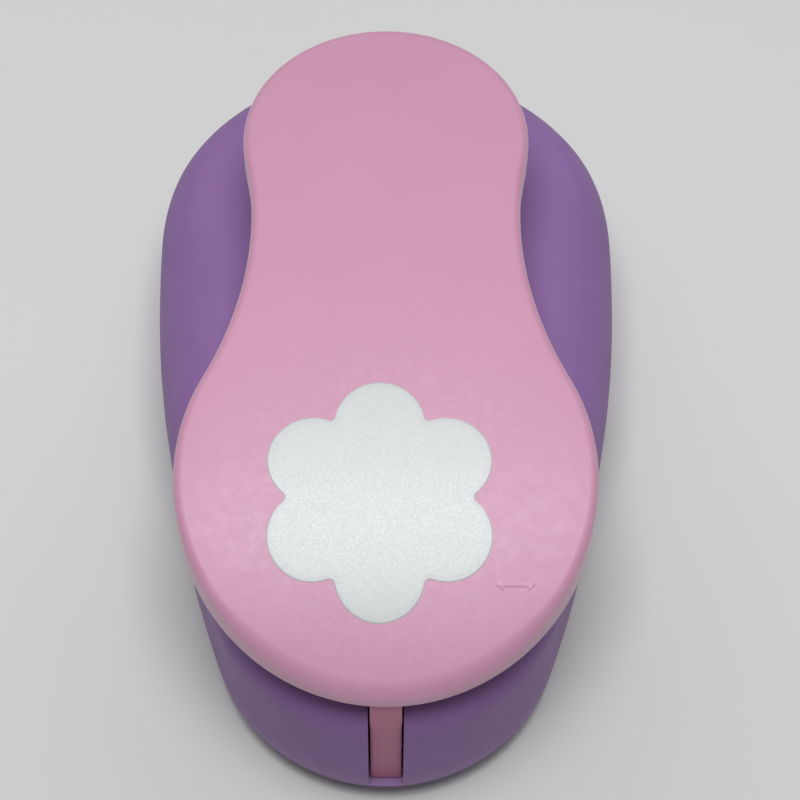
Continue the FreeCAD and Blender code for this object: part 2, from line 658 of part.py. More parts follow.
pad_spigot = rod("pad_spigot", 0.0, PUNCH_Y, head_top - 2.0, 3.0, 2.5)
pad_disc = rod("pad_disc", 0.0, PUNCH_Y, head_top, 8.0, S.pad_top - head_top - 0.6)
pad_edge = cone("pad_edge", 0.0, PUNCH_Y, S.pad_top - 0.6, 8.0, 7.4, 0.6)
part("strike_pad", join("strike_pad_done", pad_spigot, pad_disc, pad_edge))

# ---------------------------------------------------------------- springs
spring_low = plate_top + S.block_height
spring_room = S.head_bottom - spring_low
WIRE = 0.4
for side, sign in (("left", -1), ("right", 1)):
    coil = doc.addObject("Part::Helix", f"coil_{side}")
    put(coil, "Height", spring_room - 2 * WIRE - 0.2)
    put(coil, "Pitch", (spring_room - 2 * WIRE - 0.2) * (1 / 5.5))
    coil.Radius = 2.95
    for field, size in (("x", S.post_reach * sign), ("y", PUNCH_Y), ("z", spring_low + WIRE + 0.1)):
        put(coil, "Placement.Base." + field, size)
    wire_end = doc.addObject("Part::Circle", f"wire_{side}")
    wire_end.Radius = WIRE
    wire_end.Placement = FreeCAD.Placement(V(0, 0, 0), FreeCAD.Rotation(V(1, 0, 0), 90))
    for field, size in (("x", S.post_reach * sign + 2.95), ("y", PUNCH_Y),
                        ("z", spring_low + WIRE + 0.1)):
        put(wire_end, "Placement.Base." + field, size)
    sweep = doc.addObject("Part::Sweep", f"spring_{side}")
    sweep.Sections = [wire_end]
    doc.recompute()
    sweep.Spine = (coil, [f"Edge{k}" for k in range(1, len(coil.Shape.Edges) + 1)])
    sweep.Solid = True
    sweep.Frenet = True
    part(f"return_spring_{side}", sweep)

# ------------------------------------------------------------------ lever
def draw_lever_outline(inset):
    def draw(sketch):
        two_end_outline(sketch, S.disc_centre, S.disc_radius - inset, S.head_centre,
                        S.head_radius - inset, S.waist_radius + inset, hollow=True)
    return draw


def lever_top_field(sketch, rise, far):
    bowed_field(sketch, -78.0, 75.0, far, S.lever_apex, S.lever_height + rise,
                S.lever_bow + rise, S.nose_start, S.nose_bow + rise)


def lever_blank(name, inset, with_skirt):
    body = prism(name, draw_lever_outline(inset), 30.0, 45.0)
    top = new_sketch(body, name + "_top", "YZ_Plane")
    lever_top_field(top, -inset, 90.0)
    pocket(body, top, 200.0, "top_cut", both=True)
    if with_skirt:
        skirt = new_sketch(body, name + "_skirt", "YZ_Plane")
        bowed_field(skirt, -90.0, 90.0, 0.0, S.skirt_apex, S.skirt_height, S.skirt_bow)
        pocket(body, skirt, 200.0, "skirt_cut", both=True)
    return body


lever_form = lever_blank("lever_blank", as_size(0), True)
lever_core = lever_blank("lever_core", as_size(1.0), True)
lever_cavity = lever_blank("lever_cavity", S.lever_wall, False)


def on_top_rim(edge):
    """True for the edges around the upper face of the lever blank."""
    middle = edge.valueAt((edge.FirstParameter + edge.LastParameter) / 2)
    skirt_centre = S.skirt_height.number - S.skirt_bow.number
    reach = S.skirt_bow.number ** 2 - (middle.y - S.skirt_apex.number) ** 2
    above_skirt = middle.z > skirt_centre + math.sqrt(reach) + 2.0
    ends = [vertex.Point for vertex in edge.Vertexes]
    upright = ends[0].distanceToPoint(V(ends[-1].x, ends[-1].y, ends[0].z)) < 0.01
    across = abs(ends[0].x + ends[-1].x) < 0.01 and edge.Length < abs(ends[0].x) * 2.02
    return above_skirt and not upright and not across


round_edges(lever_form, S.lever_round, on_top_rim)

TONGUE_TOP = 41.8
tongue_blank = new_body("tongue_blank")
tongue_side = new_sketch(tongue_blank, "tongue_side", "YZ_Plane")
polygon(tongue_side, ((-70.0, S.pivot_up - 4.9), (wall_line + 2.2, S.pivot_up - 4.9),
                      (wall_line + 2.2, S.pivot_up - 3.0), (S.pivot_back - 1.5, S.pivot_up - 2.0),
                      (S.pivot_back - 1.5, 36.5),
                      (S.pivot_back + 3.4, TONGUE_TOP), (wall_line + 3.2, TONGUE_TOP - 2.3),
                      (wall_line + 1.6, TONGUE_TOP - 3.6), (-70.0, TONGUE_TOP - 4.4)))
pad(tongue_blank, tongue_side, 2 * S.tongue_half, both=True)
front_face = prism("front_face", lambda sketch: circles(
    sketch, ((0.0, S.front_centre),), S.front_radius - 1.3), 0.0, 60.0)
tongue = overlap("tongue_flush", tongue_blank, front_face)
tongue_eye = rod("tongue_eye", -S.tongue_half, S.pivot_back, S.pivot_up, 3.2,
                 2 * S.tongue_half, "x")
eye_hole = rod("eye_hole", -12.0, S.pivot_back, S.pivot_up, S.pin_radius + S.running_fit, 24.0,
               "x")

ribs = []
for k, x in enumerate((-10.8, 9.2)):
    slab = box(f"rib_slab{k}", x, -59.0, 30.0, 1.6, 103.0, 40.0)
    ribs.append(overlap(f"rib{k}", slab, lever_core))
for k, y in enumerate((-11.0, 5.0, 21.0)):
    slab = box(f"cross_slab{k}", -40.0, y, 30.0, 80.0, 1.6, 40.0)
    ribs.append(overlap(f"cross_rib{k}", slab, lever_core))
pusher_boss = rod("pusher_boss", 0.0, PUNCH_Y, 32.0, 6.0, 21.6)
pusher_flare = cone("pusher_flare", 0.0, PUNCH_Y, 44.0, 6.0, 10.0, 9.0)
spigot_hole = rod("spigot_hole", 0.0, PUNCH_Y, 30.0, 2.5, 8.0)


def draw_badge(growth):
    def draw(sketch):
        flower_outline(sketch, S.badge_shift, S.badge_centre, S.badge_reach,
                       S.badge_petal + growth, S.badge_notch - growth)
    return draw


badge_recess = prism("badge_recess", draw_badge(as_size(0.04)), 30.0, 40.0)
recess_floor = new_sketch(badge_recess, "recess_floor", "YZ_Plane")
lever_top_field(recess_floor, -S.badge_sink, 10.0)
pocket(badge_recess, recess_floor, 200.0, "floor_cut", both=True)
badge = prism("badge_foil", draw_badge(as_size(0)), 30.0, 40.0)
badge_under = new_sketch(badge, "badge_under", "YZ_Plane")
lever_top_field(badge_under, -S.badge_sink, 10.0)
pocket(badge, badge_under, 200.0, "under_cut", both=True)
badge_over = new_sketch(badge, "badge_over", "YZ_Plane")
lever_top_field(badge_over, S.badge_proud, 90.0)
pocket(badge, badge_over, 200.0, "over_cut", both=True)
part("shape_badge", badge)

lever_hull = carve("lever_hull", lever_form, lever_cavity)
lever_full = join("lever_full", lever_hull, tongue, tongue_eye, pusher_boss, pusher_flare, *ribs)
part("lever_shell", carve("lever_done", lever_full, eye_hole, spigot_hole, badge_recess))

shoe_blank = rod("shoe_blank", 0.0, PUNCH_Y, S.pad_top, 7.0, 32.0 - S.pad_top)
shoe_ball = ball("shoe_ball", 0.0, PUNCH_Y, S.pad_top + 0.15 + 15.0, 15.0)
shoe_spigot = rod("shoe_spigot", 0.0, PUNCH_Y, 31.0, 2.5, 6.0)
part("pusher_shoe", join("pusher_shoe_done", overlap("shoe_dome", shoe_blank, shoe_ball),
                         shoe_spigot))

# ------------------------------------------------------- checks and files
doc.recompute()
faults = []
for thing in doc.Objects:
    if "Invalid" in thing.State or "Error" in thing.State:
        faults.append(f"{thing.Name}: {thing.State}")
for label, thing in PARTS.items():
    shape = thing.Shape
    if shape.isNull() or not shape.isValid() or not shape.Solids:
        faults.append(f"{label}: bad shape")
if faults:
    raise RuntimeError("; ".join(faults))
for label, thing in PARTS.items():
    thing.Shape.exportStep(f"parts/{label}.step")
    frame_box = thing.Shape.BoundBox
    print(f"{label}: {len(thing.Shape.Solids)} solid(s), {thing.Shape.Volume:.0f} mm3, "
          f"x {frame_box.XMin:.1f}..{frame_box.XMax:.1f}, y {frame_box.YMin:.1f}.."
          f"{frame_box.YMax:.1f}, z {frame_box.ZMin:.1f}..{frame_box.ZMax:.1f}")
print(f"{len(PARTS)} sub-parts written")
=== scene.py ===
import math

import bmesh
import bpy
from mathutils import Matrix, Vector


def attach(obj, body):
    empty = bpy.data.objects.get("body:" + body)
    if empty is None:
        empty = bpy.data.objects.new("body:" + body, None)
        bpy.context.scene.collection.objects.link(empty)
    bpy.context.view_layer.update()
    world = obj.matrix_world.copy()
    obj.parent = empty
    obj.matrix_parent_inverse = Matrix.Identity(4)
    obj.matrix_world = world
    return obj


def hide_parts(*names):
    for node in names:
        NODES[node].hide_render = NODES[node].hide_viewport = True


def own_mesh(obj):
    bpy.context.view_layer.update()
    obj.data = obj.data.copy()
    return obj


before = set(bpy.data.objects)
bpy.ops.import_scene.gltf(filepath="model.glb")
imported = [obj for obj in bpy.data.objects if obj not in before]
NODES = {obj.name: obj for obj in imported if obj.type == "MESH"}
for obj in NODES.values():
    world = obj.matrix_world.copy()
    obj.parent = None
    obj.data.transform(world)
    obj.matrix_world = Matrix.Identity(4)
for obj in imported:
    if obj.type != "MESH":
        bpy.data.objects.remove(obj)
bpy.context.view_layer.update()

MM = 0.001

# driving sizes in millimetres; Y runs from the front (negative) to the rear
HOUSING_FRONT_Y, HOUSING_FRONT_R = -36.9, 29.78
HOUSING_REAR_Y, HOUSING_REAR_R = 26.7, 39.98
HOUSING_FLANK_R = 199.98
HOUSING_WALL, HOUSING_LIP = 2.4, 0.45
ROOF_HEIGHT, ROOF_BOW, ROOF_APEX, ROOF_CROWN = 39.2, 260.0, -5.0, 3.2
THROAT_END_LOW, THROAT_END_HIGH = 6.4, 7.6

LEVER_FRONT_Y, LEVER_FRONT_R = -31.9, 33.9
LEVER_REAR_Y, LEVER_REAR_R = 30.1, 24.1
LEVER_WAIST_R = 59.0
LEVER_WALL, LEVER_LIP = 2.2, 0.5
LEVER_HEIGHT, LEVER_BOW, LEVER_APEX, LEVER_CROWN = 58.29, 260.0, 13.0, 0.7
NOSE_START, NOSE_BOW = -30.0, 100.0
NOSE_CENTRE_Y, NOSE_CENTRE_Z = -13.46, -43.91
SKIRT_HEIGHT, SKIRT_BOW, SKIRT_APEX = 51.0, 496.0, 47.0

PUNCH_Y = -30.8
STRIP_HALF, SLOT_HALF, SLOT_FLOOR = 2.6, 2.9, 6.2
STRIP_FRONT_R = 28.5
WINDOW_R, WINDOW_FRONT_Y, WINDOW_REAR_Y = 9.5, -34.3, -25.3
BADGE_X, BADGE_Y = -1.0, -36.3
BADGE_REACH, BADGE_PETAL, BADGE_NOTCH = 12.2, 7.1, 0.9
BADGE_WIDER, BADGE_SHORTER = 1.012, 0.985
SPRING_X, SPRING_LOW, SPRING_HIGH = 24.5, 10.95, 20.85
CREASE = 38.0
RIB_HALF, RIB_ROOF_GAP, RIB_FOOT_GAP = 0.8, 1.4, 0.5


# ------------------------------------------------------------------ shapes
def bow(height, radius, apex, y):
    """Height of a bowed line that peaks at apex."""
    return height - radius + math.sqrt(radius * radius - (y - apex) ** 2)


def lever_top(x, y):
    """Height of the lever's upper face."""
    if y >= NOSE_START:
        z = bow(LEVER_HEIGHT, LEVER_BOW, LEVER_APEX, y)
    else:
        z = NOSE_CENTRE_Z + math.sqrt(NOSE_BOW ** 2 - (y - NOSE_CENTRE_Y) ** 2)
    return z - LEVER_CROWN * (x / 32.0) ** 2


def lever_foot(y):
    """Height of the lever's lower edge."""
    return bow(SKIRT_HEIGHT, SKIRT_BOW, SKIRT_APEX, y)


def lever_round(y):
    """Edge rounding of the lever: a little wider around the nose."""
    return 1.5 + 1.0 * smooth(-50.0, -62.0, y)


def smooth(low, high, value):
    """Soft step from 0 at low to 1 at high."""
    t = min(1.0, max(0.0, (value - low) / (high - low)))
    return t * t * (3 - 2 * t)


def roof(x, y):
    """Height of the housing roof."""
    return bow(ROOF_HEIGHT, ROOF_BOW, ROOF_APEX, y) - ROOF_CROWN * (x / 40.0) ** 2


def shell_foot(y):
    """Lower edge of the housing: high above the paper throat, low behind it."""
    return 5.4 - 5.0 * smooth(THROAT_END_LOW, THROAT_END_HIGH, y)


def shell_round(y):
    """Edge rounding of the housing roof: tight in front and behind, wide along the sides."""
    return 6.0 + 5.6 * smooth(-61.0, -23.0, y) - 6.0 * smooth(12.0, 47.0, y)


def half_outline(near_y, near_r, far_y, far_r, flank_r, hollow, step):
    """Right half of an outline, front to rear: (x, y, outward normal x, y)."""
    side = 1 if hollow else -1
    da, db = flank_r + side * near_r, flank_r + side * far_r
    cy = ((da * da - db * db) / (far_y - near_y) + near_y + far_y) / 2
    cx = math.sqrt(da * da - (cy - near_y) ** 2)
    turn_near = math.atan2(side * (cy - near_y), cx)
    turn_far = math.atan2(side * (cy - far_y), cx)
    spots = []

    def arc(ox, oy, radius, start, end, outward):
        count = max(2, round(abs(end - start) * radius / step))
        for k in range(count + 1):
            angle = start + (end - start) * k / count
            nx, ny = math.cos(angle), math.sin(angle)
            spots.append((ox + radius * nx, oy + radius * ny, outward * nx, outward * ny))

    arc(0.0, near_y, near_r, -math.pi / 2, turn_near, 1)
    spots.pop()
    if hollow:
        arc(cx, cy, flank_r, math.pi + turn_near, math.pi + turn_far, -1)
    else:
        arc(-cx, cy, flank_r, turn_near, turn_far, 1)
    spots.pop()
    arc(0.0, far_y, far_r, turn_far, math.pi / 2, 1)
    return spots


def whole_outline(half):
    """Closed outline from its right half."""
    return half + [(-x, y, -nx, ny) for x, y, nx, ny in reversed(half[1:-1])]


def new_object(name, verts, faces, materials):
    """Object made from points in millimetres."""
    mesh = bpy.data.meshes.new(name)
    mesh.from_pydata([(x * MM, y * MM, z * MM) for x, y, z in verts], [], faces)
    mesh.validate()
    thing = bpy.data.objects.new(name, mesh)
    bpy.context.scene.collection.objects.link(thing)
    for material in materials:
        mesh.materials.append(material)
    tidy_mesh(thing)
    return thing


def tidy_mesh(thing):
    """Joins doubled points, points all faces outwards and smooths the shading."""
    work = bmesh.new()
    work.from_mesh(thing.data)
    bmesh.ops.remove_doubles(work, verts=work.verts, dist=0.5e-5)
    bmesh.ops.dissolve_degenerate(work, edges=work.edges, dist=0.5e-6)
    bmesh.ops.recalc_face_normals(work, faces=work.faces)
    work.to_mesh(thing.data)
    work.free()
    thing.data.shade_smooth()
    thing.data.set_sharp_from_angle(angle=math.radians(CREASE))


def apply_modifiers(thing):
    """Replaces the mesh by the result of its modifiers."""
    graph = bpy.context.evaluated_depsgraph_get()
    mesh = bpy.data.meshes.new_from_object(thing.evaluated_get(graph))
    thing.modifiers.clear()
    thing.data = mesh
    tidy_mesh(thing)


def carve(thing, *cutters):
    """Cuts solids out of a piece and deletes them."""
    for cutter in cutters:
        cut = thing.modifiers.new("cut", "BOOLEAN")
        cut.operation = "DIFFERENCE"
        cut.solver = "EXACT"
        cut.object = cutter
    bpy.context.view_layer.update()
    apply_modifiers(thing)
    for cutter in cutters:
        bpy.data.objects.remove(cutter)


def soften(thing, width, angle):
    """Bevels the edges that are sharper than an angle."""
    edge = thing.modifiers.new("edge", "BEVEL")
    edge.width = width * MM
    edge.segments = 2
    edge.limit_method = "ANGLE"
    edge.angle_limit = math.radians(angle)
    edge.use_clamp_overlap = True
    bpy.context.view_layer.update()
    apply_modifiers(thing)


def hollow_cover(name, outline, spine, top, foot, rounding, wall, lip, materials):
    """Cover with a rounded upper edge, hollow underneath, as one closed mesh."""
    verts, faces = [], []

    def column(spot, inset, thin):
        x, y, nx, ny = spot
        radius = max(rounding(y) - inset, 0.7)
        z_low = foot(y)

        def at(depth, z=None, drop=0.0):
            px, py = x - nx * (inset + depth), y - ny * (inset + depth)
            return (px, py, z if z is not None else top(px, py) - thin - drop)

        points = []
        for k in range(4):
            angle = k * math.pi / 6
            points.append(at(lip * (1 - math.sin(angle)), z_low + lip * (1 - math.cos(angle))))
        shoulder = at(0.0)[2] - radius
        for k in range(1, 6):
            points.append(at(0.0, z_low + lip + (shoulder - z_low - lip) * k / 6))
        for k in range(13):
            angle = k * math.pi / 24
            points.append(at(radius * (1 - math.cos(angle)), None, radius * (1 - math.sin(angle))))
        rim_x, rim_y, _ = points[-1]
        goal_y = min(max(y, spine[0]), spine[1])
        for k in range(1, 9):
            px, py = rim_x * (1 - k / 8), rim_y + (goal_y - rim_y) * k / 8
            points.append((px, py, top(px, py) - thin))
        return points

    loops = []
    for spot in outline:
        outer = column(spot, 0.0, 0.0)
        inner = column(spot, wall, wall)
        loops.append(list(reversed(outer)) + inner)
    rows = len(loops[0])
    for loop in loops:
        verts.extend(loop)
    for i in range(len(loops)):
        j = (i + 1) % len(loops)
        for k in range(rows - 1):
            faces.append((i * rows + k, j * rows + k, j * rows + k + 1, i * rows + k + 1))
    return new_object(name, verts, faces, materials)


def flower_points(reach, petal, notch, step):
    """Closed outline of six petals about the origin, with small hollow roundings between."""
    out = reach * math.cos(math.pi / 6) + math.sqrt((petal + notch) ** 2 - (reach / 2) ** 2)
    spots = []
    for k in range(6):
        turn = math.pi / 2 + k * math.pi / 3
        px, py = reach * math.cos(turn), reach * math.sin(turn)
        after = turn + math.pi / 6
        qx, qy = out * math.cos(after), out * math.sin(after)
        sweep = math.atan2(qy - py, qx - px) - turn
        while sweep < 0:
            sweep += 2 * math.pi
        count = max(3, round(2 * sweep * petal / step))
        for n in range(count):
            angle = turn - sweep + 2 * sweep * n / count
            spots.append((px + petal * math.cos(angle), py + petal * math.sin(angle)))
        start = turn + sweep + math.pi
        end = 2 * after - start + 2 * math.pi
        while end > start:
            end -= 2 * math.pi
        count = max(3, round((start - end) * notch / step))
        for n in range(count):
            angle = start + (end - start) * n / count
            spots.append((qx + notch * math.cos(angle), qy + notch * math.sin(angle)))
    return spots


def prism(name, outline, low, high, materials=()):
    """Upright solid between two levels; the levels may be functions of x and y."""
    count = len(outline)
    low_at = low if callable(low) else (lambda x, y: low)
    high_at = high if callable(high) else (lambda x, y: high)
    verts = [(x, y, low_at(x, y)) for x, y in outline] + [(x, y, high_at(x, y)) for x, y in outline]
    faces = [tuple(range(count)), tuple(range(count, 2 * count))]
    for k in range(count):
        n = (k + 1) % count
        faces.append((k, n, count + n, count + k))
    return new_object(name, verts, faces, materials)


def side_prism(name, profile, x_low, x_high, materials=(), slices=1):
    """Solid made of a (y, z) profile, run along X."""
    count = len(profile)
    verts, faces = [], []
    for s in range(slices + 1):
        x = x_low + (x_high - x_low) * s / slices
        verts += [(x, y, z) for y, z in profile]
    for s in range(slices):
        for k in range(count):
            n = (k + 1) % count
            faces.append((s * count + k, s * count + n, (s + 1) * count + n, (s + 1) * count + k))
    faces.append(tuple(range(count)))
    faces.append(tuple(range(slices * count, (slices + 1) * count)))
    return new_object(name, verts, faces, materials)


def turned(name, cx, cy, profile, materials, sides=56):
    """Solid of revolution about an upright axis, from (radius, z) pairs."""
    verts, faces = [], []
    count = len(profile)
    for s in range(sides):
        angle = 2 * math.pi * s / sides
        verts += [(cx + r * math.cos(angle), cy + r * math.sin(angle), z) for r, z in profile]
    for s in range(sides):
        n = (s + 1) % sides
        for k in range(count - 1):
            faces.append((s * count + k, n * count + k, n * count + k + 1, s * count + k + 1))
    return new_object(name, verts, faces, materials)


# --------------------------------------------------------------- materials
class Shader:
    """Builds one node material."""

    def __init__(self, name):
        self.material = bpy.data.materials.new(name)
        self.material.use_nodes = True
        self.tree = self.material.node_tree
        self.tree.nodes.clear()
        out = self.tree.nodes.new("ShaderNodeOutputMaterial")
        self.main = self.tree.nodes.new("ShaderNodeBsdfPrincipled")
        self.link(self.main.outputs[0], out.inputs[0])
        self.place = self.tree.nodes.new("ShaderNodeTexCoord").outputs["Object"]

    def link(self, source, target):
        self.tree.links.new(source, target)

    def set(self, **values):
        for key, value in values.items():
            self.main.inputs[key.replace("_", " ")].default_value = value

    def noise(self, scale, detail=3.0, rough=0.5, stretch=None):
        node = self.tree.nodes.new("ShaderNodeTexNoise")
        node.inputs["Scale"].default_value = scale
        node.inputs["Detail"].default_value = detail
        node.inputs["Roughness"].default_value = rough
        source = self.place
        if stretch:
            fit = self.tree.nodes.new("ShaderNodeMapping")
            fit.inputs["Scale"].default_value = stretch
            self.link(self.place, fit.inputs["Vector"])
            source = fit.outputs[0]
        self.link(source, node.inputs["Vector"])
        return node.outputs["Fac"]

    def cells(self, scale):
        node = self.tree.nodes.new("ShaderNodeTexVoronoi")
        node.inputs["Scale"].default_value = scale
        self.link(self.place, node.inputs["Vector"])
        return node.outputs["Color"]

    def spread(self, source, low, high, to_low, to_high):
        node = self.tree.nodes.new("ShaderNodeMapRange")
        node.inputs["From Min"].default_value = low
        node.inputs["From Max"].default_value = high
        node.inputs["To Min"].default_value = to_low
        node.inputs["To Max"].default_value = to_high
        self.link(source, node.inputs["Value"])
        return node.outputs["Result"]

    def ramp(self, source, *stops):
        node = self.tree.nodes.new("ShaderNodeValToRGB")
        band = node.color_ramp
        while len(band.elements) < len(stops):
            band.elements.new(0.5)
        for element, (place, colour) in zip(band.elements, stops):
            element.position = place
            element.color = (*colour, 1.0)
        self.link(source, node.inputs["Fac"])
        return node.outputs["Color"]

    def mix(self, first, second, factor):
        """Mixes two colours, each a socket or a plain colour, by a socket."""
        node = self.tree.nodes.new("ShaderNodeMix")
        node.data_type = "RGBA"
        for socket, value in ((node.inputs[0], factor), (node.inputs[6], first),
                              (node.inputs[7], second)):
            if hasattr(value, "links"):
                self.link(value, socket)
            else:
                socket.default_value = (*value, 1.0)
        return node.outputs[2]

    def bump(self, source, strength, distance, before=None):
        node = self.tree.nodes.new("ShaderNodeBump")
        node.inputs["Strength"].default_value = strength
        node.inputs["Distance"].default_value = distance
        self.link(source, node.inputs["Height"])
        if before is not None:
            self.link(before, node.inputs["Normal"])
        return node.outputs["Normal"]

    def use(self, socket, source):
        self.link(source, self.main.inputs[socket])

    def maths(self, operation, first, second):
        node = self.tree.nodes.new("ShaderNodeMath")
        node.operation = operation
        self.link(first, node.inputs[0])
        self.link(second, node.inputs[1])
        return node.outputs[0]

    def axes(self):
        node = self.tree.nodes.new("ShaderNodeSeparateXYZ")
        self.link(self.place, node.inputs[0])
        return node.outputs

    def base_colour(self):
        return self.main.inputs["Base Color"].links[0].from_socket


def srgb(r, g, b):
    """Linear colour from eight-bit display values."""
    def line(v):
        v /= 255.0
        return v / 12.92 if v <= 0.04045 else ((v + 0.055) / 1.055) ** 2.4
    return (line(r), line(g), line(b))


def scaled(colour, factor):
    return tuple(min(1.0, c * factor) for c in colour)


def moulded(name, colour, rough, grain=0.05, mottling=0.03):
    """Semi-matte moulded plastic with a fine eroded grain."""
    s = Shader(name)
    cloud = s.noise(55.0, 3.0, 0.55)
    base = s.ramp(cloud, (0.3, scaled(colour, 1 - mottling)), (0.7, scaled(colour, 1 + mottling)))
    speck = s.noise(2600.0, 2.0, 0.6)
    dust = s.spread(speck, 0.55, 0.8, 0.0, 0.10)
    base = s.mix(base, scaled(colour, 1.5), dust)
    s.use("Base Color", base)
    s.use("Roughness", s.spread(s.noise(420.0, 3.0, 0.6), 0.3, 0.7, rough - 0.04, rough + 0.05))
    fine = s.bump(s.noise(3800.0, 2.0, 0.55), grain, 0.00008)
    s.use("Normal", s.bump(s.noise(160.0, 2.0, 0.5), 0.05, 0.0004, fine))
    return s


def purple_plastic():
    """Purple plastic, with a painted reflection of the table that makes the foot paler and painted
    shade that darkens the front wall under the lever.
    """
    s = moulded("purple_plastic", srgb(144, 108, 166), 0.5)
    s.set(IOR=1.33)
    place = s.axes()
    # Painted light: the lowest 12 mm of the housing is mixed toward a pale lilac, a painted
    # reflection of the pale table below it; the noise only wobbles the band's edge.
    wander = s.spread(s.noise(120.0, 3.0), 0.0, 1.0, -0.0008, 0.0008)
    painted_foot_light = s.spread(s.maths("ADD", place["Z"], wander), 0.0, 0.012, 0.34, 0.0)
    foot_with_painted_light = s.mix(s.base_colour(), srgb(196, 172, 198), painted_foot_light)
    # Painted shade: the front wall 14 to 34 mm up, ahead of y = -50 mm, is darkened toward a deep
    # purple where the lever's nose shades it.
    shade_by_height = s.spread(place["Z"], 0.014, 0.034, 0.0, 0.12)
    shade_front_mask = s.spread(place["Y"], -0.058, -0.050, 1.0, 0.0)
    s.use("Base Color", s.mix(foot_with_painted_light, srgb(96, 62, 104), s.maths("MULTIPLY", shade_by_height, shade_front_mask)))
    return s


def pink_plastic():
    """Pink plastic with fine pale scuffs around the silver flower."""
    s = moulded("pink_plastic", srgb(208, 149, 179), 0.46, mottling=0.02)
    s.set(IOR=1.55, Sheen_Weight=0.3, Sheen_Roughness=0.5)
    far = s.tree.nodes.new("ShaderNodeVectorMath")
    far.operation = "DISTANCE"
    s.link(s.place, far.inputs[0])
    far.inputs[1].default_value = (BADGE_X * MM, BADGE_Y * MM, 0.054)
    near_flower = s.spread(far.outputs["Value"], 0.020, 0.034, 1.0, 0.0)
    streaks = s.spread(s.noise(700.0, 6.0, 0.75, (1.0, 1.6, 1.0)), 0.46, 0.74, 0.0, 0.17)
    scuffs = s.maths("MULTIPLY", near_flower, streaks)
    s.use("Base Color", s.mix(s.base_colour(), (0.82, 0.70, 0.78), scuffs))
    return s


def silver_foil():
    """Pale foil with a very fine sparkle."""
    s = Shader("silver_foil")
    flake = s.cells(5200.0)
    s.use("Base Color", s.ramp(flake, (0.0, (0.555, 0.57, 0.575)), (0.5, (0.585, 0.60, 0.605)),
                               (1.0, (0.615, 0.63, 0.635))))
    s.use("Roughness", s.spread(s.noise(2500.0, 2.0), 0.3, 0.7, 0.50, 0.56))
    s.use("Normal", s.bump(flake, 0.012, 0.00003))
    s.set(Metallic=0.25)
    return s


def metal(name, colour, rough, brushed=0.12, stretch=(1.0, 30.0, 30.0)):
    """Metal with fine brushed lines."""
    s = Shader(name)
    lines = s.noise(900.0, 3.0, 0.6, stretch)
    s.use("Base Color", s.ramp(lines, (0.3, scaled(colour, 0.86)), (0.7, scaled(colour, 1.1))))
    s.use("Roughness", s.spread(lines, 0.3, 0.7, rough - 0.07, rough + 0.09))
    s.use("Normal", s.bump(lines, brushed, 0.00004))
    s.set(Metallic=1.0)
    return s


purple = purple_plastic()
pink = pink_plastic()
# Painted shade: the lever's tongue gets a darker, deeper pink copy of the lever plastic because it
# stands in the shade under the lever's nose.
shaded_tongue_pink = moulded("pink_tongue_painted_shade", srgb(196, 122, 152), 0.5, mottling=0.03)
shaded_tongue_pink.set(IOR=1.4)
foil = silver_foil()
steel = metal("ground_steel", (0.56, 0.56, 0.57), 0.32)
bright = metal("bright_steel", (0.68, 0.68, 0.69), 0.18, 0.04, (1.0, 1.0, 8.0))
wire = metal("spring_steel", (0.42, 0.42, 0.43), 0.3, 0.06, (1.0, 1.0, 1.0))
# Painted shade: the pivot brackets, pin and clips get a near-black steel so the slot gaps beside
# the tongue stay dark and show no glints.
gap_shade_steel = metal("dark_steel_gap_shade", (0.10, 0.10, 0.105), 0.4)
brass = metal("turned_brass", (0.76, 0.56, 0.28), 0.25, 0.06, (1.0, 1.0, 12.0))
nylon = moulded("white_nylon", (0.76, 0.76, 0.73), 0.4, 0.03, 0.03)
rubber = moulded("black_rubber", (0.035, 0.035, 0.038), 0.62, 0.12, 0.15)

# ----------------------------------------------------------------- housing
def finer(half, low, high):
    """Splits each step of a half outline that lies between two places along Y in four."""
    spots = []
    for here, after in zip(half, half[1:]):
        spots.append(here)
        if low < here[1] < high:
            for n in (1, 2, 3):
                spots.append(tuple(a + (b - a) * n / 4 for a, b in zip(here, after)))
    return spots + [half[-1]]


egg = half_outline(HOUSING_FRONT_Y, HOUSING_FRONT_R, HOUSING_REAR_Y, HOUSING_REAR_R,
                   HOUSING_FLANK_R, False, 1.3)
housing = hollow_cover("housing_shell", whole_outline(finer(egg, 3.0, 11.0)),
                       (HOUSING_FRONT_Y, HOUSING_REAR_Y), roof, shell_foot, shell_round,
                       HOUSING_WALL, HOUSING_LIP, [purple.material])
slot_sides = [(-75.0, SLOT_FLOOR), (-58.0, SLOT_FLOOR), (-58.0, 60.0), (-75.0, 60.0)]
slot_cut = side_prism("slot_cut", slot_sides, -SLOT_HALF, SLOT_HALF)
window = []
for start, centre in ((math.pi, WINDOW_FRONT_Y), (0.0, WINDOW_REAR_Y)):
    for k in range(25):
        angle = start + math.pi * k / 24
        window.append((WINDOW_R * math.cos(angle), centre + WINDOW_R * math.sin(angle)))
window_cut = prism("window_cut", window, 25.0, 60.0)
carve(housing, slot_cut, window_cut)
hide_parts("body_shell")
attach(housing, "housing")

# ------------------------------------------------------------------- lever
hourglass = half_outline(LEVER_FRONT_Y, LEVER_FRONT_R, LEVER_REAR_Y, LEVER_REAR_R,
                         LEVER_WAIST_R, True, 1.2)
lever = hollow_cover("lever_cover", whole_outline(hourglass), (LEVER_FRONT_Y, LEVER_REAR_Y),
                     lever_top, lever_foot, lever_round, LEVER_WALL, LEVER_LIP, [pink.material])
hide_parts("lever_shell")
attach(lever, "lever")


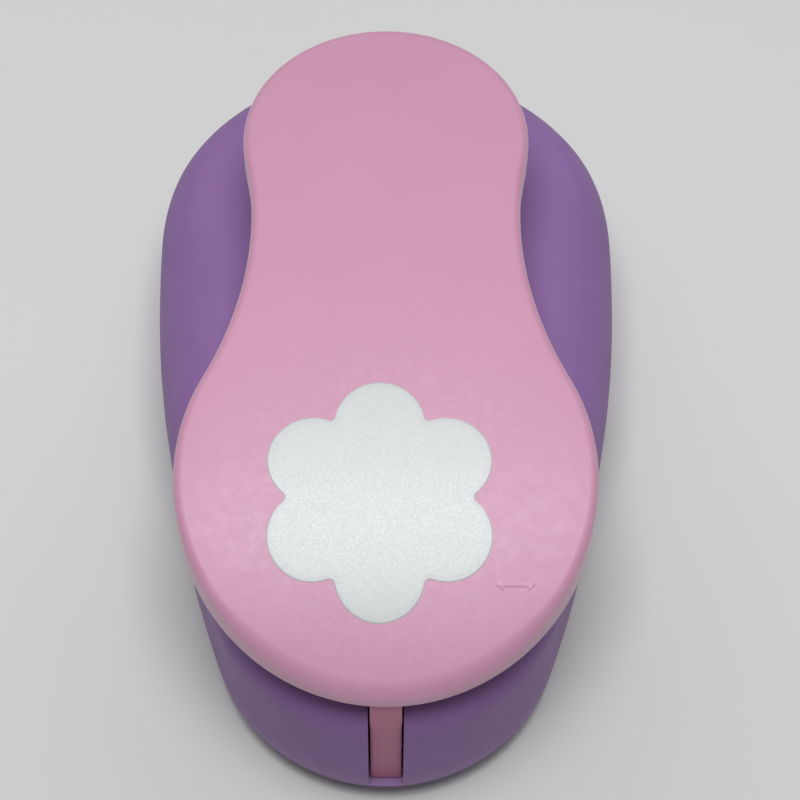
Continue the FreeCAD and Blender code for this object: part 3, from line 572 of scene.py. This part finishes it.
def foil_flower(name, materials):
    """Thin foil flower that follows the lever's upper face."""
    outline = flower_points(BADGE_REACH, BADGE_PETAL, BADGE_NOTCH, 0.35)
    count, rings = len(outline), 12
    levels = [(1.0, -0.35), (1.0, 0.0), (0.996, 0.05), (0.985, 0.07)]
    levels += [(0.985 * (1 - k / rings), 0.07) for k in range(1, rings)]
    verts, faces = [], []
    for shrink, rise in levels:
        for x, y in outline:
            px = BADGE_X + x * BADGE_WIDER * shrink
            py = BADGE_Y + y * BADGE_SHORTER * shrink
            verts.append((px, py, lever_top(px, py) + rise))
    last = (len(levels) - 1) * count
    for row in range(0, last, count):
        for k in range(count):
            n = (k + 1) % count
            faces.append((row + k, row + n, row + count + n, row + count + k))
    faces.append(tuple(range(last, last + count)))
    faces.append(tuple(range(count)))
    return new_object(name, verts, faces, materials)


badge = foil_flower("flower_badge", [foil.material])
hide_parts("shape_badge")
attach(badge, "lever")

tongue_profile = [(-66.7, 6.35), (-64.4, 6.35), (-64.4, 8.4), (-61.9, 9.5), (-60.4, 8.3),
                  (-58.2, 9.2), (-57.2, 11.5), (-58.2, 13.8), (-60.4, 14.7), (-61.9, 15.6),
                  (-61.9, 36.5), (-57.0, 41.8), (-63.5, 39.5), (-64.4, 38.9), (-66.7, 38.4)]
tongue = side_prism("lever_tongue", tongue_profile, -STRIP_HALF, STRIP_HALF,
                    [shaded_tongue_pink.material], 8)
for vertex in tongue.data.vertices:
    x, y = vertex.co.x / MM, vertex.co.y / MM
    if y < -66.0:
        vertex.co.y = (HOUSING_FRONT_Y - math.sqrt(STRIP_FRONT_R ** 2 - x * x)) * MM
soften(tongue, 0.22, 35.0)
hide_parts("lever_shell")
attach(tongue, "lever")


def raised_mark(name, cx, cy, materials):
    """Small double-ended arrow that stands a little above the lever's face."""
    flat = [(-3.1, 0.0), (-1.9, 0.95), (-1.9, 0.32), (1.9, 0.32), (1.9, 0.95), (3.1, 0.0),
            (1.9, -0.95), (1.9, -0.32), (-1.9, -0.32), (-1.9, -0.95)]
    ring = []
    for (ax, ay), (bx, by) in zip(flat, flat[1:] + flat[:1]):
        for k in range(4):
            ring.append((ax + (bx - ax) * k / 4, ay + (by - ay) * k / 4))
    spots = [(cx + x, cy + y) for x, y in ring]
    mark = prism(name, spots, lambda x, y: lever_top(x, y) - 0.4,
                 lambda x, y: lever_top(x, y) + 0.12, materials)
    soften(mark, 0.07, 40.0)
    return mark


mark = raised_mark("size_mark", 20.4, -49.6, [pink.material])
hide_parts("lever_shell")
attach(mark, "lever")


def lever_half_width(y):
    """Half width of the lever outline at a place along Y."""
    near = min(hourglass, key=lambda spot: abs(spot[1] - y))
    return near[0]


def rib_along(name, x, y_from, y_to):
    """Upright rib under the lever, from front to rear."""
    profile = []
    steps = 40
    for k in range(steps + 1):
        y = y_from + (y_to - y_from) * k / steps
        profile.append((y, lever_top(x, y) - RIB_ROOF_GAP))
    for k in range(steps + 1):
        y = y_to + (y_from - y_to) * k / steps
        profile.append((y, lever_foot(y) + RIB_FOOT_GAP))
    return side_prism(name, profile, x - RIB_HALF, x + RIB_HALF, [pink.material])


def rib_across(name, y):
    """Upright rib under the lever, from side to side."""
    reach = lever_half_width(y) - 1.3
    verts, faces = [], []
    steps = 28
    for side in (-RIB_HALF, RIB_HALF):
        for k in range(steps + 1):
            x = -reach + 2 * reach * k / steps
            verts.append((x, y + side, lever_foot(y) + RIB_FOOT_GAP))
            verts.append((x, y + side, lever_top(x, y) - RIB_ROOF_GAP))
    half = 2 * (steps + 1)
    for k in range(steps):
        a = 2 * k
        faces.append((a, a + 1, a + 3, a + 2))
        faces.append((half + a, half + a + 2, half + a + 3, half + a + 1))
        faces.append((a, a + 2, half + a + 2, half + a))
        faces.append((a + 1, half + a + 1, half + a + 3, a + 3))
    last = 2 * steps
    faces.append((0, half, half + 1, 1))
    faces.append((last, last + 1, half + last + 1, half + last))
    return new_object(name, verts, faces, [pink.material])


ribs = [rib_along("lever_rib_left", -10.0, -58.0, 44.0),
        rib_along("lever_rib_right", 10.0, -58.0, 44.0),
        rib_across("lever_rib_front", -10.2), rib_across("lever_rib_middle", 5.8),
        rib_across("lever_rib_rear", 21.8)]
boss = turned("lever_pusher_boss", 0.0, PUNCH_Y,
              [(0.0, 32.0), (5.6, 32.0), (6.0, 32.4), (6.0, 44.0), (6.6, 46.6), (8.0, 50.0),
               (9.8, 53.0), (9.8, 54.0), (0.0, 54.0)], [pink.material])
for vertex in boss.data.vertices:
    x, y, z = (c / MM for c in vertex.co)
    vertex.co.z = min(z, lever_top(x, y) - 0.9) * MM
for piece in ribs + [boss]:
    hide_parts("lever_shell")
    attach(piece, "lever")

# ----------------------------------------------------------------- springs
def coil_spring(name, cx, cy, low, high, radius, wire_radius, turns, materials):
    """Coil of round wire whose end turns lie flat."""
    verts, faces = [], []
    around, steps = 10, int(turns * 28)
    for k in range(steps + 1):
        share = k / steps
        turn = 2 * math.pi * turns * share
        rest = (share * turns - 0.9) / (turns - 1.8)
        z = low + wire_radius + (high - low - 2 * wire_radius) * min(1.0, max(0.0, rest))
        z += (share - 0.5) * 0.3
        for n in range(around):
            angle = 2 * math.pi * n / around
            r = radius + wire_radius * math.cos(angle)
            verts.append((cx + r * math.cos(turn), cy + r * math.sin(turn),
                          z + wire_radius * math.sin(angle)))
    for k in range(steps):
        for n in range(around):
            m = (n + 1) % around
            faces.append((k * around + n, k * around + m, (k + 1) * around + m,
                          (k + 1) * around + n))
    faces.append(tuple(range(around)))
    faces.append(tuple(range(steps * around, (steps + 1) * around)))
    return new_object(name, verts, faces, materials)


for side, x in (("left", -SPRING_X), ("right", SPRING_X)):
    coil = coil_spring("coil_spring_" + side, x, PUNCH_Y, SPRING_LOW, SPRING_HIGH, 2.95, 0.4,
                       7.0, [wire.material])
    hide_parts("return_spring_" + side)
    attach(coil, "housing")
    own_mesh(coil)

# ------------------------------------------------------- kept frame pieces
KEPT = {
    "base_cover": purple, "die_plate": steel, "throat_spacer": steel, "guide_plate": steel,
    "plate_rivets": bright, "punch_guide_left": nylon, "punch_guide_right": nylon,
    "guide_post_left": bright, "guide_post_right": bright, "pivot_bracket_left": gap_shade_steel,
    "pivot_bracket_right": gap_shade_steel, "pivot_pin": gap_shade_steel, "pivot_clip_left": gap_shade_steel,
    "pivot_clip_right": gap_shade_steel, "base_screws": bright, "frame_screws": bright,
    "tail_bumper": rubber,
    "flower_cutter": steel, "punch_head": steel, "punch_screws": bright,
    "guide_bush_left": brass, "guide_bush_right": brass, "strike_pad": nylon,
    "pusher_shoe": nylon,
}
for name, shader in KEPT.items():
    mesh = NODES[name].data
    mesh.materials.clear()
    mesh.materials.append(shader.material)

# ------------------------------------------------------------------- stage
floor_mesh = bpy.data.meshes.new("floor")
table = [(x, y, -0.0001) for x, y in ((-3, -3), (3, -3), (3, 3), (-3, 3))]
floor_mesh.from_pydata(table, [], [(0, 1, 2, 3)])
floor = bpy.data.objects.new("floor", floor_mesh)
bpy.context.scene.collection.objects.link(floor)
paper = Shader("pale_table")
# Painted shade: the table is darkened toward the front, from about 0.71 at y = 0.02 m to 0.62 at y
# = -0.14 m, standing in for the light falling off there.
floor_shade_ramp = paper.spread(paper.axes()["Y"], -0.14, 0.02, 0.0, 1.0)
tone = paper.ramp(paper.noise(3.0, 2.0), (0.3, (0.70, 0.70, 0.695)), (0.7, (0.72, 0.72, 0.715)))
paper.use("Base Color", paper.mix((0.62, 0.62, 0.615), tone, floor_shade_ramp))
paper.set(Roughness=0.75)
floor_mesh.materials.append(paper.material)

world = bpy.data.worlds.new("world")
bpy.context.scene.world = world
world.use_nodes = True
world.node_tree.nodes["Background"].inputs[0].default_value = (0.97, 0.985, 1.0, 1.0)
world.node_tree.nodes["Background"].inputs[1].default_value = 0.15


def lamp(name, place, aim, size, power):
    """Soft rectangular lamp that points at a place."""
    light = bpy.data.lights.new(name, "AREA")
    light.shape = "RECTANGLE"
    light.size, light.size_y = size
    light.energy = power
    thing = bpy.data.objects.new(name, light)
    bpy.context.scene.collection.objects.link(thing)
    thing.location = place
    thing.rotation_euler = (Vector(aim) - Vector(place)).to_track_quat("-Z", "Y").to_euler()


lamp("ceiling_soft", (-0.05, 0.6, 1.4), (0, 0, 0), (2.4, 1.8), 8.0)
lamp("ceiling_panel", (0.0, -0.14, 0.95), (0, -0.03, 0), (0.42, 0.36), 5.5)

camera_data = bpy.data.cameras.new("camera")
camera = bpy.data.objects.new("camera", camera_data)
bpy.context.scene.collection.objects.link(camera)
bpy.context.scene.camera = camera
tilt, camera_reach = math.radians(61.05), 0.4601
aim = Vector((0.0, -0.00585, 0.030))
camera.location = aim + Vector((0, -math.cos(tilt), math.sin(tilt))) * camera_reach
camera.rotation_mode = "QUATERNION"
camera.rotation_quaternion = (aim - camera.location).to_track_quat("-Z", "Y")
camera_data.sensor_width = 36.0
camera_data.lens = 121.0
camera_data.shift_x = 0.0176
camera_data.clip_start, camera_data.clip_end = 0.01, 20.0
bpy.context.scene.view_settings.view_transform = "Standard"
